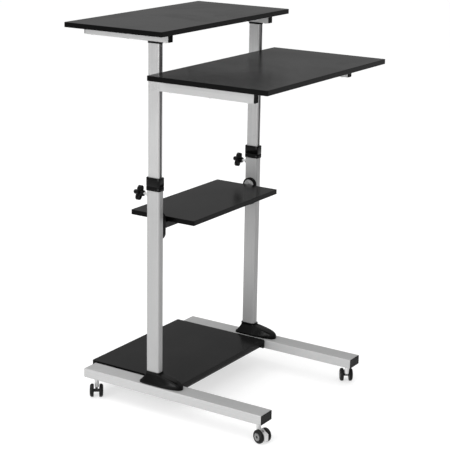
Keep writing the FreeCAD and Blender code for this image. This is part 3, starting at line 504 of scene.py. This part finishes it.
boot = dict(
    rings=30,
    around=112,
    rimStart=0.84,  # share of the height where the upright rim begins
    rimWidth=0.003,
    rimPinch=0.0006,
    pinchStart=0.6,  # share of the height above which the rim is pinched in
    rimLip=0.0009,
    lipDrop=0.6,  # share of the lip
    toeBend=3.0,
    toeFade=0.9,
    heelHold=0.12,  # share of the height that keeps the full outline
    heelFade=1.66,
    sideFade=1.14,
    wall=0.0025,
    hollowTop=0.6,  # share of the height that the open underside reaches
    hollowDrop=0.0012,  # how far the underside lies below the levels of the outside
    collarWall=0.002,
    columnGap=0.0003,
    holeEdge=0.001,
    holeFoot=0.68,  # share of the height where the hole round the column ends
    squareness=dict(column=7.0, rim=6.0, toe=2.7, heel=4.2),
)


def bootRing(centreX, centreY, halfWidth, frontReach, backReach,
             frontSquare, backSquare, level, setup):
    # superellipse: the cosine and sine of the turn raised to 2 over the squareness, with one
    # reach and squareness for the half in front of the column and another for the half behind
    turn = np.linspace(0, 2 * np.pi, setup["around"], endpoint=False)[None, :]
    behind = np.sin(turn) > 0
    square = np.where(behind, backSquare[:, None], frontSquare[:, None])
    reach = np.where(behind, backReach[:, None], frontReach[:, None])
    wide = np.sign(np.cos(turn)) * np.abs(np.cos(turn)) ** (2 / square) * halfWidth[:, None]
    deep = np.sign(np.sin(turn)) * np.abs(np.sin(turn)) ** (2 / square) * reach
    rise = np.broadcast_to(level[:, None], wide.shape)
    return np.stack([centreX + wide, centreY + deep, rise], axis=-1)


def makeBoot(side, setup):
    # each level spreads from the column outline, where h is the share of the height: the toe by
    # (1 - (h / rimStart) ^ toeBend) ^ toeFade and the heel and sides by powers of a straight fall
    # from heelHold to rimStart, so the toe is crowned and the rest is hollow
    low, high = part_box(side + "_foot_shroud")
    collarLow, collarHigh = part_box(side + "_collar")
    columnX = (collarLow[0] + collarHigh[0]) / 2
    columnY = (collarLow[1] + collarHigh[1]) / 2
    innerHalf = (collarHigh[0] - collarLow[0]) / 2 - setup["collarWall"] + setup["columnGap"]
    innerReach = (collarHigh[1] - collarLow[1]) / 2 - setup["collarWall"] + setup["columnGap"]
    tall = high[2] - low[2]
    h = np.linspace(0, 1, setup["rings"])
    level = low[2] + h * tall
    start, hold, pinchStart = setup["rimStart"], setup["heelHold"], setup["pinchStart"]
    climb = np.clip(h / start, 0, 1)
    fall = 1 - np.clip((h - hold) / (start - hold), 0, 1)
    toe = (1 - climb ** setup["toeBend"]) ** setup["toeFade"]
    heel = fall ** setup["heelFade"]
    flank = fall ** setup["sideFade"]
    waist = np.sin(np.pi * np.clip((h - pinchStart) / (1 - pinchStart), 0, 1))
    rim = setup["rimWidth"]
    pinched = rim - setup["rimPinch"] * waist
    halfWidth = innerHalf + pinched + flank * ((high[0] - low[0]) / 2 - innerHalf - rim)
    frontReach = innerReach + pinched + toe * (columnY - low[1] - innerReach - rim)
    backReach = innerReach + pinched + heel * (high[1] - columnY - innerReach - rim)
    square = setup["squareness"]
    frontSquare = square["rim"] + flank * (square["toe"] - square["rim"])
    backSquare = square["rim"] + flank * (square["heel"] - square["rim"])
    outside = bootRing(columnX, columnY, halfWidth, frontReach, backReach,
                       frontSquare, backSquare, level, setup)
    lip = setup["rimLip"]
    outside[-1, :, 2] -= lip * setup["lipDrop"]  # soft top edge
    crown = bootRing(columnX, columnY, halfWidth[-1:] - lip, frontReach[-1:] - lip,
                     backReach[-1:] - lip, frontSquare[-1:], backSquare[-1:], level[-1:], setup)
    holeLevel = np.array([high[2], high[2] - setup["holeEdge"], low[2] + tall * setup["holeFoot"]])
    ones = np.ones(len(holeLevel))
    hole = bootRing(columnX, columnY, innerHalf * ones, innerReach * ones, innerReach * ones,
                    square["column"] * ones, square["column"] * ones, holeLevel, setup)
    keep = h <= setup["hollowTop"]
    wall = setup["wall"]
    inside = bootRing(columnX, columnY, halfWidth[keep] - wall, frontReach[keep] - wall,
                      backReach[keep] - wall, frontSquare[keep], backSquare[keep],
                      level[keep], setup)[::-1]
    inside[:-1, :, 2] -= setup["hollowDrop"]
    grid = np.concatenate([outside, crown, hole, inside])
    piece = surfacePiece(side + "FootBoot", grid, shut="loop")
    tagPiece(piece, "base", "black_plastic", "bootPlastic", side + "_foot_shroud")


for side in sides:
    makeBoot(side, boot)
print("stage: foot boots made")

collarSleeve = dict(
    around=112,
    skirtWall=0.0019,
    gap=0.0003,  # between the hole and the upper column
    squareOut=6.5,
    squareIn=7.0,
    edge=0.0012,
    footDraw=0.5,  # share of the edge that the very foot is drawn in
    footTurn=(0.4, 0.12),  # shares of the edge: how high its round turns, and how far in there
    lipTurn=0.3,  # share of the edge where the slope of the top edge changes
    grooveRise=(0.30, 0.36),  # share of the height where a shallow line runs round
    grooveDepth=0.0005,
    grooveSlope=0.0004,
    lipDepth=0.003,
)


def makeCollar(side, setup):
    # superellipse sleeve: up the outside with a shallow line a third of the way, over the lip and
    # down the hole round the upper column, then out under the lip to sit on the lower one
    low, high = (np.array(corner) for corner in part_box(side + "_collar"))
    upLow, upHigh = (np.array(corner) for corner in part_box(side + "_upper_column"))
    middle = (low + high) / 2
    half = (high - low) / 2
    hole = (upHigh - upLow) / 2 + setup["gap"]
    skirt = half - setup["skirtWall"]
    tall = high[2] - low[2]
    edge, deep, slope = setup["edge"], setup["grooveDepth"], setup["grooveSlope"]
    lineLow, lineHigh = (tall * share for share in setup["grooveRise"])
    turnRise, turnDraw = (edge * share for share in setup["footTurn"])
    lip = edge * setup["lipTurn"]
    outline = np.array([  # rise above the foot, and how far the outside is drawn in there
        (0, edge * setup["footDraw"]), (turnRise, turnDraw), (edge, 0), (lineLow, 0),
        (lineLow + slope, deep), (lineHigh - slope, deep), (lineHigh, 0), (tall - edge, 0),
        (tall - lip, lip), (tall, edge),
    ])
    rises, drawIn = outline[:, 0], outline[:, 1]
    seat = tall - setup["lipDepth"]
    innerRises = [tall, seat, seat, 0]
    level = low[2] + np.concatenate([rises, innerRises])
    wide = np.concatenate([half[0] - drawIn, [hole[0], hole[0], skirt[0], skirt[0]]])
    reach = np.concatenate([half[1] - drawIn, [hole[1], hole[1], skirt[1], skirt[1]]])
    counts = [len(rises), len(innerRises)]
    square = np.repeat([setup["squareOut"], setup["squareIn"]], counts)
    grid = bootRing(middle[0], middle[1], wide, reach, reach, square, square, level, setup)
    piece = surfacePiece(side + "CollarSleeve", grid, shut="loop")
    tagPiece(piece, "base", "black_plastic", "bootPlastic", side + "_collar")


for side in sides:
    makeCollar(side, collarSleeve)
print("stage: collars made")

wheel = dict(
    around=96,
    roundSteps=7,
    treadSteps=6,
    domeSteps=14,
    gapHalf=0.009,  # from the middle of the caster to a wheel's inner face
    width=0.012,
    radius=0.021,
    bore=0.0031,
    innerRound=0.0018,
    crown=0.0003,
    domeWidth=0.0062,
    domeDrop=0.0074,
    hubRadius=0.0124,
    hubRecess=0.0015,
    hubLip=(0.0003, 0.0006, 0.0001),  # depth of its round, then the radius added at each end
    discGap=0.00005,
    discRadius=0.0119,
    discThickness=0.0012,
    discRound=(0.0003, 0.0004),  # along the axle, then towards it
    ringRadius=0.0092,
    ringDepth=0.0005,
    ringHalf=(0.0009, 0.0004),  # half the groove's width at its top, then at its floor
    middleRadius=0.0052,
    middleDrop=0.0003,
)


def tyreProfile(setup):
    # along the axle and out from it: flat inner face, small round, slightly crowned tread,
    # long elliptical dome to the outer face, then a shallow step down to the hub
    width, radius, small = setup["width"], setup["radius"], setup["innerRound"]
    domeWidth, domeDrop = setup["domeWidth"], setup["domeDrop"]
    inner = quarterRound(small, radius - small, -small, small,
                         start=0, end=90, steps=setup["roundSteps"])
    along = np.linspace(small, width - domeWidth, setup["treadSteps"])[1:-1]
    middle = (along[0] + along[-1]) / 2
    out = radius - setup["crown"] * ((along - middle) / width) ** 2
    tread = np.stack([along, out], axis=1)
    dome = quarterRound(width - domeWidth, radius - domeDrop, domeWidth, domeDrop,
                        start=90, end=0, steps=setup["domeSteps"])
    hub, recess = setup["hubRadius"], width - setup["hubRecess"]
    lipDepth, lipOuter, lipInner = setup["hubLip"]
    face = [(width, hub + lipOuter), (width - lipDepth, hub + lipInner), (recess, hub)]
    bore = setup["bore"]
    return np.concatenate([[(0, bore)], inner, tread, dome, face, [(recess, bore)]])


def hubProfile(setup):
    # pressed disc: raised rim, one round groove, and a sunk middle round the axle head
    back = setup["width"] - setup["hubRecess"] + setup["discGap"]
    face = back + setup["discThickness"]
    bore, disc, ring = setup["bore"], setup["discRadius"], setup["ringRadius"]
    roundAlong, roundIn = setup["discRound"]
    floor = face - setup["ringDepth"]
    ringTop, ringFloor = setup["ringHalf"]
    middle, drop = setup["middleRadius"], setup["middleDrop"]
    return np.array([
        (back, bore), (back, disc), (face - roundAlong, disc), (face, disc - roundIn),
        (face, ring + ringTop), (floor, ring + ringFloor), (floor, ring - ringFloor),
        (face, ring - ringTop), (face, middle), (face - drop, middle - drop), (face - drop, bore),
    ])


def makeWheel(caster, half, setup):
    joint = findJoint(f"{caster}_wheel_{half}_spin")
    outward = np.array(joint["axis"]) * (-1 if half == "a" else 1)
    body = f"{caster}_wheel_{half}_body"
    start = np.array(joint["pos_m"]) + outward * setup["gapHalf"]
    label = "".join(word.capitalize() for word in caster.split("_")) + half.upper()
    around = setup["around"]
    tyreGrid = turned(tyreProfile(setup), start, outward, around)
    tyre = surfacePiece("tyre" + label, tyreGrid, shut="loop")
    tagPiece(tyre, body, "wheel_black", "treadBlack", f"{caster}_wheel_{half}")
    discGrid = turned(hubProfile(setup), start, outward, around)
    disc = surfacePiece("hubDisc" + label, discGrid, shut="loop")
    tagPiece(disc, body, "zinc_steel", "hubSilver")


for caster in casters:
    for half in ("a", "b"):
        makeWheel(caster, half, wheel)
print("stage: wheels made")

starKnob = dict(
    around=144,
    leadSteps=7,
    tailSteps=9,
    outer=0.0225,
    lobes=4,
    turn=22.0,
    lobeShare=0.27,
    lobeEase=0.8,
    hubFront=0.0085,
    hubBack=0.0100,
    hubLength=0.008,
    hubRound=(0.0004, 0.0003),
    hubFillet=(0.0006, 0.0001),  # how far before the star it starts and ends
    edge=0.0030,
    dish=0.0014,
    dishRings=(0.82, 0.66, 0.5, 0.34, 0.18),  # shares of the flat back's radius
    dishBend=4,
)


def makeKnob(side, setup):
    # radius round the axis is outer * (1 - 2 * share * (1 - swing ^ ease)), where swing is half
    # of 1 + cos(lobes * (angle - turn)), so the lobes are round and the valleys wide; the hub is
    # a plain circle that opens into the star, and the back sinks by dish * (1 - ring ^ bend)
    low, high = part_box(side + "_knob")
    joint = findJoint(side + "_knob_turn")
    turn = np.linspace(0, 2 * np.pi, setup["around"], endpoint=False)
    swing = 0.5 + 0.5 * np.cos(setup["lobes"] * (turn - math.radians(setup["turn"])))
    valley = 1 - swing ** setup["lobeEase"]
    star = setup["outer"] * (1 - 2 * setup["lobeShare"] * valley)
    edge = setup["edge"]
    front, back = low[1] + setup["hubLength"], high[1]
    lead = quarterRound(front + edge, -edge, -edge, edge,
                        start=0, end=90, steps=setup["leadSteps"])
    tail = quarterRound(back - edge, -edge, edge, edge,
                        start=90, end=0, steps=setup["tailSteps"])
    rim = np.concatenate([lead, tail])
    roundAlong, roundOut = setup["hubRound"]
    filletStart, filletEnd = setup["hubFillet"]
    hub = np.array([
        (low[1], setup["hubFront"]), (low[1] + roundAlong, setup["hubFront"] + roundOut),
        (front - filletStart, setup["hubBack"]),
        (front - filletEnd, setup["hubBack"] + filletStart),
    ])
    dishRings = np.array(setup["dishRings"])
    sink = setup["dish"] * (1 - dishRings ** setup["dishBend"])
    along = np.concatenate([hub[:, 0], rim[:, 0], back - sink])
    radius = np.concatenate([
        np.repeat(hub[:, 1:2], setup["around"], axis=1),
        star[None, :] + rim[:, 1:2],
        dishRings[:, None] * (star[None, :] - edge),
    ])
    x = joint["pos_m"][0] - radius * np.cos(turn)
    z = joint["pos_m"][2] + radius * np.sin(turn)
    grid = np.stack([x, np.broadcast_to(along[:, None], x.shape), z], axis=-1)
    piece = surfacePiece(side + "StarKnob", grid)
    tagPiece(piece, side + "_clamp_knob", "black_plastic", "bootPlastic", side + "_knob")


for side in sides:
    makeKnob(side, starKnob)
print("stage: knobs made")

studio = dict(
    floorHalf=14.0,
    floorColour=grey(0.46),
    floorRough=0.85,
    floorSpecular=0.1,
    floorGlow=0.61,
    backdropStrength=1.0,
    skyLow=0.08,
    skyHigh=1.12,
    skySide=(-0.30, 0.10, 0.94),  # where the sky is brightest
    lightTarget=(0, 0, 0.55),
    lights=dict(
        topSoftbox=dict(place=(-0.5, 0.3, 3.6), size=3.6, power=75.0),
        leftSoftbox=dict(place=(-7.0, 0.6, 1.6), size=4.0, power=340.0),
        glintLamp=dict(place=(-2.0, -3.4, 2.4), size=0.25, power=7.0),
    ),
)


def makeFloor(setup):
    half = setup["floorHalf"]
    corners = [(-half, -half, 0), (half, -half, 0), (half, half, 0), (-half, half, 0)]
    mesh = bpy.data.meshes.new("studioFloor")
    mesh.from_pydata(corners, [], [(0, 1, 2, 3)])
    floor = bpy.data.objects.new("studioFloor", mesh)
    bpy.context.scene.collection.objects.link(floor)
    material = bpy.data.materials.new("paperFloor")
    material.use_nodes = True
    shader = material.node_tree.nodes["Principled BSDF"]
    shader.inputs["Base Color"].default_value = (*setup["floorColour"], 1.0)
    shader.inputs["Roughness"].default_value = setup["floorRough"]
    shader.inputs["Specular IOR Level"].default_value = setup["floorSpecular"]
    shader.inputs["Emission Color"].default_value = plainWhite
    shader.inputs["Emission Strength"].default_value = setup["floorGlow"]
    mesh.materials.append(material)


def makeAreaLight(name, setup, target):
    data = bpy.data.lights.new(name, "AREA")
    data.shape = "SQUARE"
    data.size = setup["size"]
    data.energy = setup["power"]
    light = bpy.data.objects.new(name, data)
    light.location = setup["place"]
    aim = Vector(target) - Vector(setup["place"])
    light.rotation_euler = aim.to_track_quat("-Z", "Y").to_euler()
    bpy.context.scene.collection.objects.link(light)


def makeWorld(setup):
    # light from the sky is skyLow + skyHigh * ((1 + lean) / 2) ^ 2, where lean is how far a
    # direction leans to the bright side; the backdrop itself is seen as plain white
    world = bpy.data.worlds.new("studioWorld")
    world.use_nodes = True
    tree = world.node_tree
    sky = tree.nodes["Background"]
    direction = addNode(tree, "ShaderNodeTexCoord").outputs["Object"]
    lean = addNode(tree, "ShaderNodeVectorMath", {"operation": "DOT_PRODUCT"},
                   {1: setup["skySide"]}, {0: direction})
    shifted = maths(tree, "ADD", lean.outputs["Value"], 1.0)
    half = maths(tree, "MULTIPLY", shifted, 0.5, clamp=True)
    glow = maths(tree, "MULTIPLY", maths(tree, "POWER", half, 2.0), setup["skyHigh"])
    tree.links.new(maths(tree, "ADD", glow, setup["skyLow"]), sky.inputs["Strength"])
    sky.inputs["Color"].default_value = plainWhite
    backdrop = addNode(tree, "ShaderNodeBackground",
                       values={"Strength": setup["backdropStrength"], "Color": plainWhite})
    seen = addNode(tree, "ShaderNodeLightPath").outputs["Is Camera Ray"]
    mix = addNode(tree, "ShaderNodeMixShader",
                  links={0: seen, 1: sky.outputs[0], 2: backdrop.outputs[0]})
    tree.links.new(mix.outputs[0], tree.nodes["World Output"].inputs["Surface"])
    bpy.context.scene.world = world


viewpoint = dict(
    place=(-3.4947, -2.2410, 1.7100),
    yaw=0.9894,  # from +Y towards +X
    pitch=0.2676,  # downwards
    roll=0.0137,
    lens=110.998,
    sensor=36.0,
    shiftX=0.03056,
    shiftY=-0.01940,
    farClip=60.0,
)


def makeCamera(setup):
    yaw, pitch, roll = setup["yaw"], setup["pitch"], setup["roll"]
    level = math.cos(pitch)
    ahead = Vector((math.sin(yaw) * level, math.cos(yaw) * level, -math.sin(pitch)))
    right = ahead.cross(Vector((0, 0, 1))).normalized()
    up = right.cross(ahead)
    tiltRight = math.cos(roll) * right + math.sin(roll) * up
    tiltUp = math.cos(roll) * up - math.sin(roll) * right
    data = bpy.data.cameras.new("camera")
    data.lens = setup["lens"]
    data.sensor_width = setup["sensor"]
    data.shift_x = setup["shiftX"]
    data.shift_y = setup["shiftY"]
    data.clip_end = setup["farClip"]
    camera = bpy.data.objects.new("camera", data)
    turnMatrix = Matrix((tiltRight, tiltUp, -ahead)).transposed().to_4x4()
    camera.matrix_world = Matrix.Translation(Vector(setup["place"])) @ turnMatrix
    bpy.context.scene.collection.objects.link(camera)
    bpy.context.scene.camera = camera


bpy.context.scene.view_settings.view_transform = "Standard"
makeFloor(studio)
for name, light in studio["lights"].items():
    makeAreaLight(name, light, studio["lightTarget"])
makeWorld(studio)
makeCamera(viewpoint)
print("stage: studio set")
